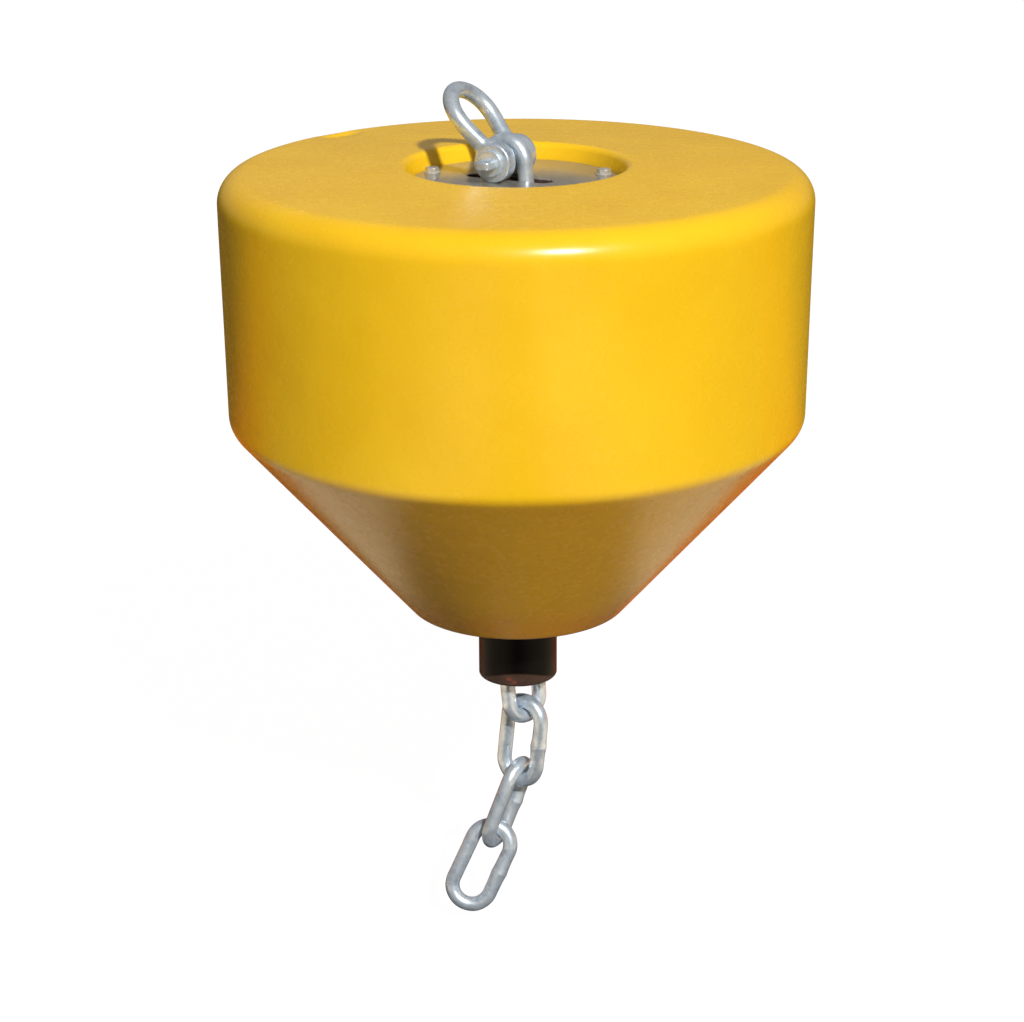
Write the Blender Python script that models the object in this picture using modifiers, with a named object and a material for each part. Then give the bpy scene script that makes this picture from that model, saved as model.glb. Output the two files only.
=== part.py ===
"""A chain-through mooring buoy: a drum-and-cone float on a hawse pipe, with its chain.

The origin is on the float's axis at the waterline, +Z up.  The chain runs down the pipe from a
slotted plate in the top recess, where the pin of a bow shackle holds its first link.  Every link
is set against the one above it by the distance between their bent wires, and the last three hang
free below the pipe.  All lengths are in metres and all angles in degrees.
"""
import math

import bmesh
import bpy
import numpy as np
from mathutils import Matrix, Vector
from mathutils.bvhtree import BVHTree

COLLECTION_NAME = "mooring_buoy"
CUTTER_COLLECTION_NAME = "mooring_buoy_cutters"

# Gaps and build tolerances
SEAT_GAP = 0.0003
LINK_RUNNING_GAP = 0.0007
CUT_OVERRUN = 0.004
MERGE_DISTANCE = 0.00005
SMOOTH_LIMIT_ANGLE = 35.0

# Float: a drum that tapers a little, on a cone
FLOAT_RADIUS = 0.451
SHOULDER_RADIUS = 0.4455
DRUM_HEIGHT = 0.380
CONE_HEIGHT = 0.316
CONE_FOOT_RADIUS = 0.169
TOP_CROWN = 0.010
TOP_EDGE_RADIUS = 0.042
SHOULDER_EDGE_RADIUS = 0.030
FOOT_EDGE_RADIUS = 0.014
SHOULDER_BELOW_WATER = 0.080
FLOAT_SEGMENTS = 64

# Top recess of the float, whose wall spreads upwards from a gap round the plate
RECESS_SIDE_GAP = 0.002
RECESS_WALL_SPREAD = 0.008
RECESS_LIP_RADIUS = 0.011
PLATE_TOP_BELOW_LIP = 0.025

# Slotted chain plate, which rests on the recess floor
PLATE_RADIUS = 0.158
PLATE_THICKNESS = 0.012
PLATE_SEGMENTS = 64
SLOT_LENGTH = 0.140
SLOT_WIDTH = 0.030
SLOT_YAW = -25.0
SLOT_OFFSET_X = -0.0095
SLOT_OFFSET_Y = 0.0099
SLOT_END_STEPS = 8

# Hawse pipe, flared below a collar under the plate
PIPE_RADIUS = 0.0625
PIPE_BORE_RADIUS = 0.055
PIPE_BELOW_FLOAT = 0.123
PIPE_FOOT_EDGE_RADIUS = 0.0045
PIPE_BORE_EDGE_RADIUS = 0.002
FLARE_BORE_RADIUS = 0.068
FLARE_LENGTH = 0.080
FLARE_LIP_RADIUS = 0.003
COLLAR_RADIUS = 0.088
COLLAR_THICKNESS = 0.012
COLLAR_EDGE_RADIUS = 0.002
PIPE_SEGMENTS = 40

# Chain: one bent and welded link, used eleven times
WIRE_DIAMETER = 0.024
LINK_LENGTH = 0.1625
LINK_WIDTH = 0.088
WELD_LENGTH = 0.016
WELD_SWELL_SHARE = 1.12
CROWN_STEPS = 8
SOLVER_STEPS = 16

# Bow shackle: a bent bar with two eyes and a screw pin
BAR_DIAMETER = 0.025
PIN_DIAMETER = 0.028
JAW_WIDTH = 0.043
BOW_INSIDE_WIDTH = 0.068
BOW_INSIDE_LENGTH = 0.101
EYE_DIAMETER = 0.060
EYE_THICKNESS = 0.025
NECK_START_HEIGHT = 0.018
NECK_STEPS = 5
BOW_CROWN_STEPS = 12
EYE_SEGMENTS = 28
PIN_SEGMENTS = 24
PIN_COLLAR_DIAMETER = 0.040
PIN_COLLAR_THICKNESS = 0.006
PIN_TAB_LENGTH = 0.026
PIN_TAB_HEIGHT = 0.026
PIN_TAB_THICKNESS = 0.0135
PIN_TAB_CORNER_RADIUS = 0.007
PIN_TAB_HOLE_DIAMETER = 0.008
PIN_TIP_CHAMFER = 0.002
PIN_TAB_ROLL = 5.0

# Where the shackle stands on the plate, and how its bow leans
PIN_OFFSET_X = -0.0155
PIN_OFFSET_Y = 0.014
PIN_YAW = 28.0
BOW_LEAN = 41

# Each link from the top: yaw of its plane, lean of its top to +X, lean of its top to +Y
LINK_ATTITUDES = (
    ("chain_link_00", -28.0, -2.6, 2.2),
    ("chain_link_01", 58.0, -4.0, 3.3),
    ("chain_link_02", -36.0, -0.3, 0.0),
    ("chain_link_03", 50.0, -0.3, 0.0),
    ("chain_link_04", -44.0, -0.3, 0.0),
    ("chain_link_05", 42.2, -0.3, 0.0),
    ("chain_link_06", -51.4, -0.3, 0.0),
    ("chain_link_07", 41.0, -4.6, 3.0),
    ("chain_link_08", -36.0, 5.7, -2.0),
    ("chain_link_09", 62.0, 21.5, 11.0),
    ("chain_link_10", -5.0, 25.5, 12.0),
)

# Heights, down from the float's top
SHOULDER_HEIGHT = -SHOULDER_BELOW_WATER
RIM_HEIGHT = SHOULDER_HEIGHT + DRUM_HEIGHT
LIP_HEIGHT = RIM_HEIGHT + TOP_CROWN
CONE_FOOT_HEIGHT = SHOULDER_HEIGHT - CONE_HEIGHT
PLATE_TOP_HEIGHT = LIP_HEIGHT - PLATE_TOP_BELOW_LIP
PLATE_UNDERSIDE_HEIGHT = PLATE_TOP_HEIGHT - PLATE_THICKNESS
RECESS_FLOOR_HEIGHT = PLATE_UNDERSIDE_HEIGHT - SEAT_GAP
COLLAR_UNDERSIDE_HEIGHT = RECESS_FLOOR_HEIGHT - COLLAR_THICKNESS
SOCKET_FLOOR_HEIGHT = COLLAR_UNDERSIDE_HEIGHT - SEAT_GAP
FLARE_FOOT_HEIGHT = COLLAR_UNDERSIDE_HEIGHT - FLARE_LENGTH
PIPE_FOOT_HEIGHT = CONE_FOOT_HEIGHT - PIPE_BELOW_FLOAT
PIN_HEIGHT = PLATE_TOP_HEIGHT + SEAT_GAP + EYE_DIAMETER / 2

# Radii of the recess, from the plate that lies in it
RECESS_FLOOR_RADIUS = PLATE_RADIUS + RECESS_SIDE_GAP
RECESS_MOUTH_RADIUS = RECESS_FLOOR_RADIUS + RECESS_WALL_SPREAD

# Wall of the pipe, the same in its flare
PIPE_WALL = PIPE_RADIUS - PIPE_BORE_RADIUS
FLARE_RADIUS = FLARE_BORE_RADIUS + PIPE_WALL

# Distances in one link, from its centre
CROWN_RADIUS = (LINK_WIDTH - WIRE_DIAMETER) / 2
LEG_HALF_LENGTH = (LINK_LENGTH - LINK_WIDTH) / 2
CROWN_DISTANCE = LEG_HALF_LENGTH + CROWN_RADIUS

# Distances in the bow, from the pin's axis
EYE_OFFSET = (JAW_WIDTH + EYE_THICKNESS) / 2
BOW_RADIUS = (BOW_INSIDE_WIDTH + BAR_DIAMETER) / 2
BOW_CENTRE_DISTANCE = PIN_DIAMETER / 2 + BOW_INSIDE_LENGTH + BAR_DIAMETER / 2 - BOW_RADIUS

# Finishes: base colour, roughness, metallic
YELLOW_PLASTIC = ((0.93, 0.55, 0.035), 0.45, 0.0)
BLACK_PLASTIC = ((0.012, 0.011, 0.010), 0.50, 0.0)
GREY_STEEL = ((0.20, 0.19, 0.18), 0.45, 0.6)
GALVANISED_STEEL = ((0.56, 0.58, 0.59), 0.42, 0.9)


def empty_scene():
    """Remove every object that the file opened with."""
    for old in list(bpy.data.objects):
        bpy.data.objects.remove(old, do_unlink=True)


def new_collection(name):
    """Add a collection to the scene."""
    collection = bpy.data.collections.new(name)
    bpy.context.scene.collection.children.link(collection)
    return collection


def new_object(name, data, collection):
    """Put mesh or curve data into the scene as a named object."""
    made = bpy.data.objects.new(name, data)
    collection.objects.link(made)
    return made


def give_finish(target, finish):
    """Give an object a material of its own."""
    colour, roughness, metallic = finish
    material = bpy.data.materials.new(target.name + "_finish")
    material.use_nodes = True
    shader = material.node_tree.nodes["Principled BSDF"]
    shader.inputs["Base Color"].default_value = (*colour, 1.0)
    shader.inputs["Roughness"].default_value = roughness
    shader.inputs["Metallic"].default_value = metallic
    target.data.materials.append(material)


def rounded_outline(corners):
    """Points of a closed outline whose corners are (r, z, edge radius, arc steps)."""
    points = []
    for index, (across, height, edge_radius, steps) in enumerate(corners):
        corner = Vector((across, height))
        if steps == 0:
            points.append(corner)
            continue
        before = Vector(corners[index - 1][:2]) - corner
        after = Vector(corners[(index + 1) % len(corners)][:2]) - corner
        before.normalize()
        after.normalize()
        half_angle = before.angle(after) / 2
        centre = corner + (before + after).normalized() * (edge_radius / math.sin(half_angle))
        start = corner + before * (edge_radius / math.tan(half_angle)) - centre
        sweep = math.pi - 2 * half_angle
        turn = math.copysign(sweep, before.x * after.y - before.y * after.x)
        for step in range(steps + 1):
            arm = start.copy()
            arm.rotate(Matrix.Rotation(-turn * step / steps, 2))
            points.append(centre + arm)
    return points


def turned_piece(name, corners, segments, collection):
    """Turn a closed outline round the Z axis with a Screw modifier."""
    points = rounded_outline(corners)
    mesh = bpy.data.meshes.new(name)
    places = [(point.x, 0, point.y) for point in points]
    edges = [(index, (index + 1) % len(points)) for index in range(len(points))]
    mesh.from_pydata(places, edges, [])
    turned = new_object(name, mesh, collection)
    screw = turned.modifiers.new("turn", "SCREW")
    screw.axis = "Z"
    screw.steps = segments
    screw.render_steps = segments
    screw.use_merge_vertices = True
    screw.merge_threshold = MERGE_DISTANCE
    screw.use_smooth_shade = True
    return turned


def baked_mesh(source):
    """Make an object's evaluated shape its own plain mesh, with the same name and place."""
    bpy.context.view_layer.update()
    evaluated = source.evaluated_get(bpy.context.evaluated_depsgraph_get())
    mesh = bpy.data.meshes.new_from_object(evaluated)
    welder = bmesh.new()
    welder.from_mesh(mesh)
    bmesh.ops.remove_doubles(welder, verts=welder.verts, dist=MERGE_DISTANCE)
    bmesh.ops.recalc_face_normals(welder, faces=welder.faces)
    welder.to_mesh(mesh)
    welder.free()
    name = source.name
    place = source.matrix_world.copy()
    collection = source.users_collection[0]
    bpy.data.objects.remove(source, do_unlink=True)
    baked = new_object(name, mesh, collection)
    baked.matrix_world = place
    return baked


def combine(target, tool, operation):
    """Union or cut a mesh with another, which is used up."""
    boolean = target.modifiers.new(operation.lower(), "BOOLEAN")
    boolean.operation = operation
    boolean.object = tool
    boolean.solver = "EXACT"
    combined = baked_mesh(target)
    bpy.data.objects.remove(tool, do_unlink=True)
    return combined


def round_bar(name, radius, low_end, high_end, segments, collection):
    """A cylinder along local X between two ends."""
    mesh = bpy.data.meshes.new(name)
    shape = bmesh.new()
    place = Matrix.Translation(((low_end + high_end) / 2, 0, 0)) @ Matrix.Rotation(math.pi / 2, 4, "Y")
    bmesh.ops.create_cone(
        shape, cap_ends=True, segments=segments, radius1=radius, radius2=radius,
        depth=high_end - low_end, matrix=place)
    shape.to_mesh(mesh)
    shape.free()
    return new_object(name, mesh, collection)


def shade_round(target):
    """Smooth shading with sharp edges left sharp."""
    target.data.shade_smooth()
    target.data.set_sharp_from_angle(angle=math.radians(SMOOTH_LIMIT_ANGLE))


def make_float(collection):
    """The moulded float: recess, crowned top, drum, shoulder, cone, foot and pipe bore."""
    bore = PIPE_RADIUS + SEAT_GAP
    flare = FLARE_RADIUS + SEAT_GAP
    socket = COLLAR_RADIUS + SEAT_GAP
    corners = (
        # radius, height, edge radius, arc steps
        (bore, FLARE_FOOT_HEIGHT - SEAT_GAP, 0, 0),
        (flare, SOCKET_FLOOR_HEIGHT, 0, 0),
        (socket, SOCKET_FLOOR_HEIGHT, 0, 0),
        (socket, RECESS_FLOOR_HEIGHT, 0, 0),
        (RECESS_FLOOR_RADIUS, RECESS_FLOOR_HEIGHT, 0, 0),
        (RECESS_MOUTH_RADIUS, LIP_HEIGHT, RECESS_LIP_RADIUS, 4),
        (FLOAT_RADIUS, RIM_HEIGHT, TOP_EDGE_RADIUS, 6),
        (SHOULDER_RADIUS, SHOULDER_HEIGHT, SHOULDER_EDGE_RADIUS, 4),
        (CONE_FOOT_RADIUS, CONE_FOOT_HEIGHT, FOOT_EDGE_RADIUS, 4),
        (bore, CONE_FOOT_HEIGHT, 0, 0),
    )
    shell = turned_piece("float_shell", corners, FLOAT_SEGMENTS, collection)
    give_finish(shell, YELLOW_PLASTIC)


def make_pipe(collection):
    """The hawse pipe that lines the float, flared under the collar that hangs it."""
    corners = (
        # radius, height, edge radius, arc steps
        (PIPE_BORE_RADIUS, FLARE_FOOT_HEIGHT, 0, 0),
        (FLARE_BORE_RADIUS, RECESS_FLOOR_HEIGHT, FLARE_LIP_RADIUS, 2),
        (COLLAR_RADIUS, RECESS_FLOOR_HEIGHT, 0, 0),
        (COLLAR_RADIUS, COLLAR_UNDERSIDE_HEIGHT, COLLAR_EDGE_RADIUS, 2),
        (FLARE_RADIUS, COLLAR_UNDERSIDE_HEIGHT, 0, 0),
        (PIPE_RADIUS, FLARE_FOOT_HEIGHT, 0, 0),
        (PIPE_RADIUS, PIPE_FOOT_HEIGHT, PIPE_FOOT_EDGE_RADIUS, 3),
        (PIPE_BORE_RADIUS, PIPE_FOOT_HEIGHT, PIPE_BORE_EDGE_RADIUS, 2),
    )
    pipe = turned_piece("hawse_pipe", corners, PIPE_SEGMENTS, collection)
    give_finish(pipe, BLACK_PLASTIC)


def add_loop(curve, points, radii=None):
    """Add a closed poly spline to a curve."""
    spline = curve.splines.new("POLY")
    spline.points.add(len(points) - 1)
    for index, place in enumerate(points):
        spline.points[index].co = (*place, 1.0)
        if radii:
            spline.points[index].radius = radii[index]
    spline.use_cyclic_u = True
    spline.use_smooth = True


def make_plate(collection):
    """The steel plate on the recess floor, with the slot that the top link passes through."""
    curve = bpy.data.curves.new("top_plate", "CURVE")
    curve.dimensions = "2D"
    curve.fill_mode = "BOTH"
    curve.extrude = PLATE_THICKNESS / 2
    rim = []
    for step in range(PLATE_SEGMENTS):
        angle = math.tau * step / PLATE_SEGMENTS
        rim.append((PLATE_RADIUS * math.cos(angle), PLATE_RADIUS * math.sin(angle), 0))
    slot = []
    end_centre = (SLOT_LENGTH - SLOT_WIDTH) / 2
    slot_centre = Vector((SLOT_OFFSET_X, SLOT_OFFSET_Y, 0))
    turn = Matrix.Rotation(math.radians(SLOT_YAW), 3, "Z")
    for side in (1, -1):
        for step in range(SLOT_END_STEPS + 1):
            angle = math.pi * (step / SLOT_END_STEPS - 0.5)
            along = side * (end_centre + math.cos(angle) * SLOT_WIDTH / 2)
            across = side * math.sin(angle) * SLOT_WIDTH / 2
            slot.append(slot_centre + turn @ Vector((along, across, 0)))
    add_loop(curve, rim)
    add_loop(curve, slot)
    plate = new_object("top_plate", curve, collection)
    plate.location.z = PLATE_TOP_HEIGHT - PLATE_THICKNESS / 2
    plate = baked_mesh(plate)
    shade_round(plate)
    give_finish(plate, GREY_STEEL)


def link_loop():
    """Points and wire swell of one link in its own X (across) and Z (along) plane."""
    points = []
    swells = []
    for end in (1, -1):
        for step in range(CROWN_STEPS + 1):
            angle = math.pi * step / CROWN_STEPS
            across = end * CROWN_RADIUS * math.cos(angle)
            along = end * (LEG_HALF_LENGTH + CROWN_RADIUS * math.sin(angle))
            points.append((across, 0, along))
            swells.append(1.0)
    for along in (-WELD_LENGTH / 2, 0, WELD_LENGTH / 2):
        points.append((CROWN_RADIUS, 0, along))
        swells.append(1.0 if along else WELD_SWELL_SHARE)
    return points, swells


def link_curve():
    """The wire of one link as a closed round curve."""
    curve = bpy.data.curves.new("chain_link", "CURVE")
    curve.dimensions = "3D"
    curve.bevel_depth = WIRE_DIAMETER / 2
    curve.bevel_resolution = 3
    points, swells = link_loop()
    add_loop(curve, points, swells)
    return curve


def link_axes(yaw, lean_x, lean_y):
    """Across, normal and along vectors of a link with this attitude."""
    along = Vector((math.tan(math.radians(lean_x)), math.tan(math.radians(lean_y)), 1)).normalized()
    level = Vector((math.cos(math.radians(yaw)), math.sin(math.radians(yaw)), 0))
    across = (level - along * level.dot(along)).normalized()
    return across, along.cross(across), along


def link_faces(curve, collection):
    """Corners, as an array, and faces of one link's surface with its centre at zero."""
    sample = new_object("link_sample", curve, collection)
    bpy.context.view_layer.update()
    mesh = sample.evaluated_get(bpy.context.evaluated_depsgraph_get()).to_mesh()
    corners = np.empty(len(mesh.vertices) * 3)
    mesh.vertices.foreach_get("co", corners)
    faces = [tuple(face.vertices) for face in mesh.polygons]
    bpy.data.objects.remove(sample, do_unlink=True)
    return corners.reshape(-1, 3), faces


def surface_tree(surface, axes, centre):
    """Search tree of a link's surface at a place."""
    corners, faces = surface
    placed = corners @ np.array(axes) + np.array(centre)
    return BVHTree.FromPolygons(placed.tolist(), faces)


def hung_centre(surface, parent_centre, parent_axes, child_axes):
    """Centre of a link that hangs in the crown of the one above, wire against wire."""
    parent_across, _, parent_along = parent_axes
    child_across, _, child_along = child_axes
    lift = child_across.cross(parent_across).normalized()
    if lift.dot(parent_along) < 0:
        lift.negate()
    lowest = parent_centre - parent_along * CROWN_DISTANCE - child_along * CROWN_DISTANCE
    parent_tree = surface_tree(surface, parent_axes, parent_centre)
    low = WIRE_DIAMETER / 2
    high = WIRE_DIAMETER * 2
    for _ in range(SOLVER_STEPS):
        rise = (low + high) / 2
        child_tree = surface_tree(surface, child_axes, lowest + lift * rise)
        if parent_tree.overlap(child_tree):
            low = rise
        else:
            high = rise
    return lowest + lift * (high + LINK_RUNNING_GAP)


def make_chain(collection, pin_centre):
    """All the links, each hung on the one above; the first hangs on the shackle's pin."""
    curve = link_curve()
    surface = link_faces(curve, collection)
    axes = link_axes(*LINK_ATTITUDES[0][1:])
    pin_to_crown = (PIN_DIAMETER + WIRE_DIAMETER) / 2 + SEAT_GAP
    centre = pin_centre + axes[2] * (pin_to_crown - CROWN_DISTANCE)
    for index, (name, yaw, lean_x, lean_y) in enumerate(LINK_ATTITUDES):
        if index:
            child_axes = link_axes(yaw, lean_x, lean_y)
            centre = hung_centre(surface, centre, axes, child_axes)
            axes = child_axes
        link = new_object(name, curve.copy(), collection)
        link.matrix_world = Matrix.Translation(centre) @ Matrix(axes).transposed().to_4x4()
        give_finish(link, GALVANISED_STEEL)


def bow_path():
    """Centreline of the shackle's bow in its own X (along the pin) and Z plane."""
    side = []
    neck_length = BOW_CENTRE_DISTANCE - NECK_START_HEIGHT
    for step in range(NECK_STEPS):
        share = step / NECK_STEPS
        spread = share * share * (3 - 2 * share)
        side.append((EYE_OFFSET + (BOW_RADIUS - EYE_OFFSET) * spread,
                     NECK_START_HEIGHT + neck_length * share))
    path = list(side)
    for step in range(BOW_CROWN_STEPS + 1):
        angle = math.pi * step / BOW_CROWN_STEPS
        path.append((BOW_RADIUS * math.cos(angle), BOW_CENTRE_DISTANCE + BOW_RADIUS * math.sin(angle)))
    path.extend((-across, height) for across, height in reversed(side))
    return path


def make_bow(collection, cutters, holder):
    """The bent bow with a flat round eye at each end, bored for the pin."""
    curve = bpy.data.curves.new("shackle_bow", "CURVE")
    curve.dimensions = "3D"
    curve.bevel_depth = BAR_DIAMETER / 2
    curve.bevel_resolution = 4
    curve.use_fill_caps = True
    path = bow_path()
    spline = curve.splines.new("POLY")
    spline.points.add(len(path) - 1)
    for index, (across, height) in enumerate(path):
        spline.points[index].co = (across, 0, height, 1.0)
    bow = baked_mesh(new_object("shackle_bow", curve, collection))
    for side in (1, -1):
        inner = side * EYE_OFFSET - EYE_THICKNESS / 2
        outer = side * EYE_OFFSET + EYE_THICKNESS / 2
        eye = round_bar("eye", EYE_DIAMETER / 2, inner, outer, EYE_SEGMENTS, cutters)
        bow = combine(bow, eye, "UNION")
    reach = EYE_OFFSET + EYE_THICKNESS / 2 + CUT_OVERRUN
    bore = round_bar("pin_bore", PIN_DIAMETER / 2 + SEAT_GAP, -reach, reach, PIN_SEGMENTS, cutters)
    bow = combine(bow, bore, "DIFFERENCE")
    shade_round(bow)
    bow.parent = holder
    give_finish(bow, GALVANISED_STEEL)


def make_pin(collection, cutters, holder):
    """The screw pin: shank, collar against the front eye, and a flat tab with a hole."""
    eye_face = EYE_OFFSET + EYE_THICKNESS / 2
    collar_face = eye_face + SEAT_GAP
    collar_end = collar_face + PIN_COLLAR_THICKNESS
    pin = round_bar("shackle_pin", PIN_DIAMETER / 2, -eye_face, collar_end - PIN_TIP_CHAMFER,
                    PIN_SEGMENTS, collection)
    collar = round_bar("collar", PIN_COLLAR_DIAMETER / 2, collar_face, collar_end, PIN_SEGMENTS, cutters)
    pin = combine(pin, collar, "UNION")
    tab_curve = bpy.data.curves.new("tab", "CURVE")
    tab_curve.dimensions = "2D"
    tab_curve.fill_mode = "BOTH"
    tab_curve.extrude = PIN_TAB_THICKNESS / 2
    foot = collar_end - PIN_COLLAR_THICKNESS / 2
    tip = collar_end + PIN_TAB_LENGTH
    corners = (
        (foot, -PIN_TAB_HEIGHT / 2, 0, 0),
        (tip, -PIN_TAB_HEIGHT / 2, PIN_TAB_CORNER_RADIUS, 4),
        (tip, PIN_TAB_HEIGHT / 2, PIN_TAB_CORNER_RADIUS, 4),
        (foot, PIN_TAB_HEIGHT / 2, 0, 0),
    )
    add_loop(tab_curve, [(point.x, point.y, 0) for point in rounded_outline(corners)])
    hole = []
    for step in range(PIN_SEGMENTS // 2):
        angle = math.tau * step / (PIN_SEGMENTS // 2)
        hole.append(((collar_end + tip) / 2 + PIN_TAB_HOLE_DIAMETER / 2 * math.cos(angle),
                     PIN_TAB_HOLE_DIAMETER / 2 * math.sin(angle), 0))
    add_loop(tab_curve, hole)
    tab = baked_mesh(new_object("tab", tab_curve, cutters))
    pin = combine(pin, tab, "UNION")
    shade_round(pin)
    pin.parent = holder
    pin.rotation_euler.x = math.radians(PIN_TAB_ROLL - BOW_LEAN)
    give_finish(pin, GALVANISED_STEEL)


def make_shackle(collection, cutters, pin_centre):
    """The shackle stands on the plate at its pin's axis, its bow leaning back to the left."""
    holder = new_object("shackle_axis", None, collection)
    yaw = math.radians(PIN_YAW)
    lean = math.radians(BOW_LEAN)
    head_way = Vector((-math.sin(yaw), -math.cos(yaw), 0))
    lean_way = Vector((-math.cos(yaw), math.sin(yaw), 0))
    bow_way = Vector((0, 0, 1)) * math.cos(lean) + lean_way * math.sin(lean)
    side_way = bow_way.cross(head_way)
    holder.matrix_world = (Matrix.Translation(pin_centre)
                           @ Matrix((head_way, side_way, bow_way)).transposed().to_4x4())
    make_bow(collection, cutters, holder)
    make_pin(collection, cutters, holder)


def main():
    """Build every piece of the buoy."""
    empty_scene()
    collection = new_collection(COLLECTION_NAME)
    cutters = new_collection(CUTTER_COLLECTION_NAME)
    pin_centre = Vector((PIN_OFFSET_X, PIN_OFFSET_Y, PIN_HEIGHT))
    make_float(collection)
    make_pipe(collection)
    make_plate(collection)
    make_chain(collection, pin_centre)
    make_shackle(collection, cutters, pin_centre)


main()
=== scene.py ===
"""A chain-through mooring buoy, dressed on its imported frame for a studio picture.

A rotomoulded yellow float stands on a black hawse pipe. A galvanised chain runs down through it
from a slotted steel plate, where a bow shackle holds the first link. Every surface here is worked
out with numpy as a grid of points, in metres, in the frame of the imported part.
"""
import logging
import math
from dataclasses import dataclass
from enum import Enum
from typing import Any

import bpy
import numpy as np
from mathutils import Matrix, Vector


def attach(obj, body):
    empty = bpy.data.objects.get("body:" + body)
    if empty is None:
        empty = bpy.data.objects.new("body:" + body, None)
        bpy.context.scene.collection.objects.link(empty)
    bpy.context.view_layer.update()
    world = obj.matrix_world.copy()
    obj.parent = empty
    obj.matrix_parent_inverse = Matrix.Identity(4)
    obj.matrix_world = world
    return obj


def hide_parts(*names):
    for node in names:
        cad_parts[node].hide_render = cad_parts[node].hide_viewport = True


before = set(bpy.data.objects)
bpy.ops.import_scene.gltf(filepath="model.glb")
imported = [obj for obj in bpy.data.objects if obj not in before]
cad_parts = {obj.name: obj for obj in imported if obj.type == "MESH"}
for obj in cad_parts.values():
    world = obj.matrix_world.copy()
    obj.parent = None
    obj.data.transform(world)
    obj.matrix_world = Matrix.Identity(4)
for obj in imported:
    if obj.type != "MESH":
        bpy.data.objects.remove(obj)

Array = np.ndarray
Piece = bpy.types.Object
Socket = bpy.types.NodeSocket
Pair = tuple[float, float]
Triple = tuple[float, float, float]
Stops = tuple[tuple[float, str], ...]
LOG = logging.getLogger("mooring_buoy")
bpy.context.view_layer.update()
IMAGE_WIDTH = 1024
MM = 0.001
PLASTIC_IOR = 1.5
SHADER_INPUTS = {"colour": "Base Color", "roughness": "Roughness", "normal": "Normal"}

# Step and least number of steps of a rounded corner, and longest straight step of a rod
ARC_STEP = math.radians(7.0)
ARC_LEAST_STEPS = 4
ROD_SPACING = 0.02

# Squareness of a round section, what the ripples' scaled sum seldom leaves, and a guard at zero
ROUND = 2.0
RIPPLE_REACH = 1.4
TINY = 1e-6


# Shapes

def eased(share: Array) -> Array:
    """Smooth step: share squared times three less twice the share, held between 0 and 1."""
    held = np.clip(share, 0.0, 1.0)
    return held * held * (3.0 - 2.0 * held)


def ripple(places: Array, wavelength: float, seed: int, waves: int = 6) -> Array:
    """Slow unevenness of a moulded or forged surface, between about -1 and 1.

    It is the sum of a few cosine waves whose directions and phases come from a seeded generator,
    over the root of their number and over the reach that this seldom leaves.

    Args:
        places: points, (..., 3).
        wavelength: mean length of the waves.
        seed: seed of the generator.
        waves: number of waves.

    Returns:
        One value for each point.
    """
    dice = np.random.default_rng(seed)
    ways = dice.normal(size=(waves, 3))
    ways *= (math.tau / wavelength) / np.linalg.norm(ways, axis=1, keepdims=True)
    phases = dice.uniform(0.0, math.tau, waves)
    return np.cos(places @ ways.T + phases).sum(-1) / math.sqrt(waves) / RIPPLE_REACH


def rounded_outline(corners: tuple[Triple, ...], spacing: float, closed: bool = True) -> Array:
    """Points of an outline with rounded corners and evenly divided straights.

    Each corner is replaced by the arc that touches both of its sides, and each straight between
    two arcs is cut into equal lengths.

    Args:
        corners: (distance from the axis, height, edge radius) of each corner in order.
        spacing: longest straight step.
        closed: whether the last corner runs on into the first.

    Returns:
        The points, (n, 2).
    """
    places = np.array([corner[:2] for corner in corners])
    arcs = []
    for index, (across, height, radius) in enumerate(corners):
        corner = np.array((across, height))
        ends_here = not closed and index in (0, len(corners) - 1)
        if radius == 0.0 or ends_here:
            arcs.append(corner[None])
            continue
        before = places[index - 1] - corner
        after = places[(index + 1) % len(corners)] - corner
        before = before / np.linalg.norm(before)
        after = after / np.linalg.norm(after)
        half = math.acos(float(np.clip(before @ after, -1.0, 1.0))) / 2.0
        middle = (before + after) / np.linalg.norm(before + after)
        centre = corner + middle * radius / math.sin(half)
        start = corner + before * radius / math.tan(half) - centre
        turn = math.pi - 2.0 * half
        turn *= 1.0 if before[0] * after[1] - before[1] * after[0] < 0.0 else -1.0
        steps = max(ARC_LEAST_STEPS, math.ceil(abs(turn) / ARC_STEP))
        angles = np.linspace(0.0, turn, steps + 1)
        arcs.append(centre + np.stack((start[0] * np.cos(angles) - start[1] * np.sin(angles),
                                       start[0] * np.sin(angles) + start[1] * np.cos(angles)), -1))
    pieces = []
    for index, arc in enumerate(arcs):
        pieces.append(arc)
        if not closed and index == len(arcs) - 1:
            break
        gap = arcs[(index + 1) % len(arcs)][0] - arc[-1]
        steps = math.ceil(float(np.linalg.norm(gap)) / spacing)
        if steps > 1:
            pieces.append(arc[-1] + gap * (np.arange(1, steps) / steps)[:, None])
    return np.concatenate(pieces)


def around(count: int) -> Array:
    """Even angles of a full turn, from 0."""
    return np.arange(count) * math.tau / count


def turned(outline: Array, segments: int) -> Array:
    """Outline carried round the Z axis: each point becomes a circle of its distance and height."""
    angles = around(segments)
    across = outline[:, :1]
    return np.stack((across * np.cos(angles), across * np.sin(angles),
                     np.broadcast_to(outline[:, 1:], (len(outline), segments))), -1)


def rod_grid(radius: float, low: float, high: float, edge: float, segments: int) -> Array:
    """Round bar along the Z axis between two heights, with rounded edges."""
    corners = ((0.0, low, 0.0), (radius, low, edge), (radius, high, edge), (0.0, high, 0.0))
    return turned(rounded_outline(corners, ROD_SPACING, closed=False), segments)


def upright(flat: Array) -> Array:
    """Points or directions of a plane, (n, 2), stood up on the X and Z axes, (n, 3)."""
    return np.stack((flat[:, 0], np.zeros(len(flat)), flat[:, 1]), -1)


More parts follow.
